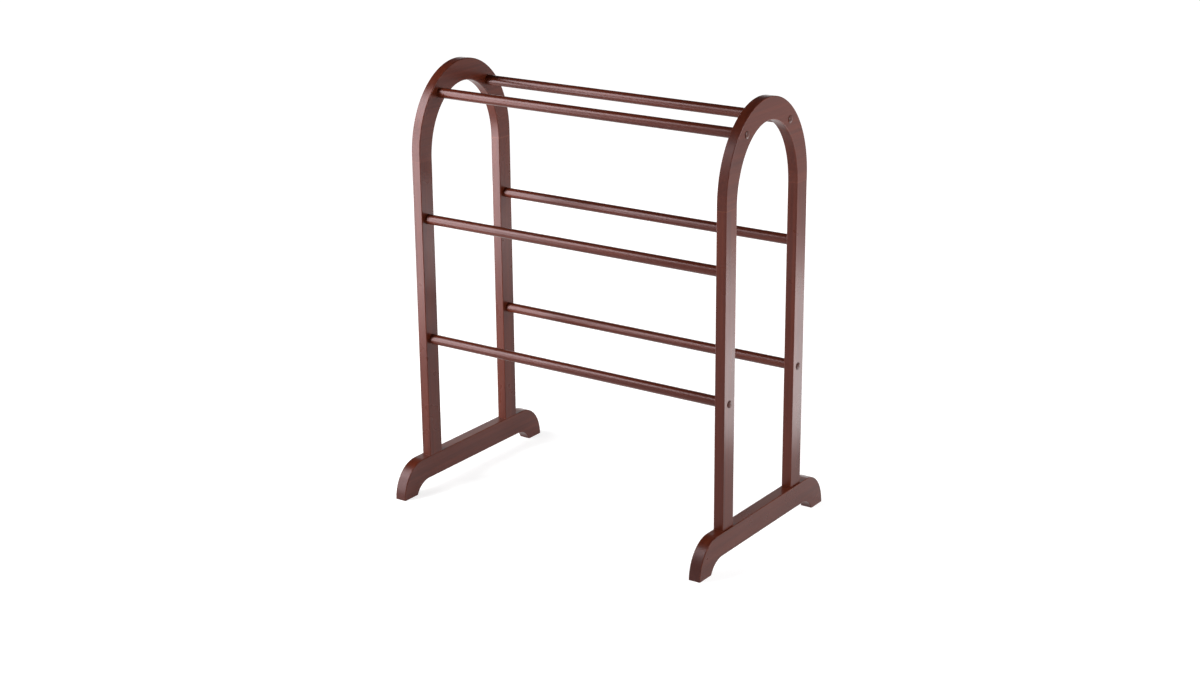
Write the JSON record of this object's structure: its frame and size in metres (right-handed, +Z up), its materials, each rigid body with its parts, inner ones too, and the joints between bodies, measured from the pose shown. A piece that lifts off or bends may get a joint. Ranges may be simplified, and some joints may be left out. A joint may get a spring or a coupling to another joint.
{
  "type": "drying rack",
  "caption": "Free-standing wooden quilt and towel rack: arched end frames on trestle feet joined by round rungs.",
  "frame": {"origin": "on the floor, at the middle of the four foot pads", "axes": "+X along the rungs, +Y to the rear, +Z up"},
  "size_m": [0.72, 0.46, 0.86],
  "materials": {
    "frame_wood": "dark red-brown stain under satin lacquer",
    "rung_wood": "dark red-brown stain under satin lacquer",
    "dowel_wood": "plain beech",
    "zinc_steel": "zinc plated",
    "insert_brass": "plain turned brass",
    "cap_plastic": "brown satin cover button"
  },
  "bodies": {
    "rack": {"left_crown": "frame_wood", "left_front_upright": "frame_wood", "left_rear_upright": "frame_wood", "left_foot": "frame_wood", "left_crown_dowels": "dowel_wood", "left_foot_dowels": "dowel_wood", "left_foot_bolts": "zinc_steel", "left_foot_inserts": "insert_brass", "left_rung_bolts": "zinc_steel", "left_rung_inserts": "insert_brass", "left_caps": "cap_plastic", "right_crown": "frame_wood", "right_front_upright": "frame_wood", "right_rear_upright": "frame_wood", "right_foot": "frame_wood", "right_crown_dowels": "dowel_wood", "right_foot_dowels": "dowel_wood", "right_foot_bolts": "zinc_steel", "right_foot_inserts": "insert_brass", "right_rung_bolts": "zinc_steel", "right_rung_inserts": "insert_brass", "right_caps": "cap_plastic", "top_front_rung": "rung_wood", "top_rear_rung": "rung_wood", "low_front_rung": "rung_wood", "low_rear_rung": "rung_wood"},
    "mid_front": {"mid_front_rung": "rung_wood"},
    "mid_rear": {"mid_rear_rung": "rung_wood"}
  },
  "joints": [
    {"name": "mid_front_rung_turn", "type": "hinge", "parent": "rack", "child": "mid_front", "pos_m": [0, -0.1265, 0.5625], "axis": [1, 0, 0], "continuous": true},
    {"name": "mid_rear_rung_turn", "type": "hinge", "parent": "rack", "child": "mid_rear", "pos_m": [0, 0.1265, 0.5625], "axis": [1, 0, 0], "continuous": true}
  ]
}
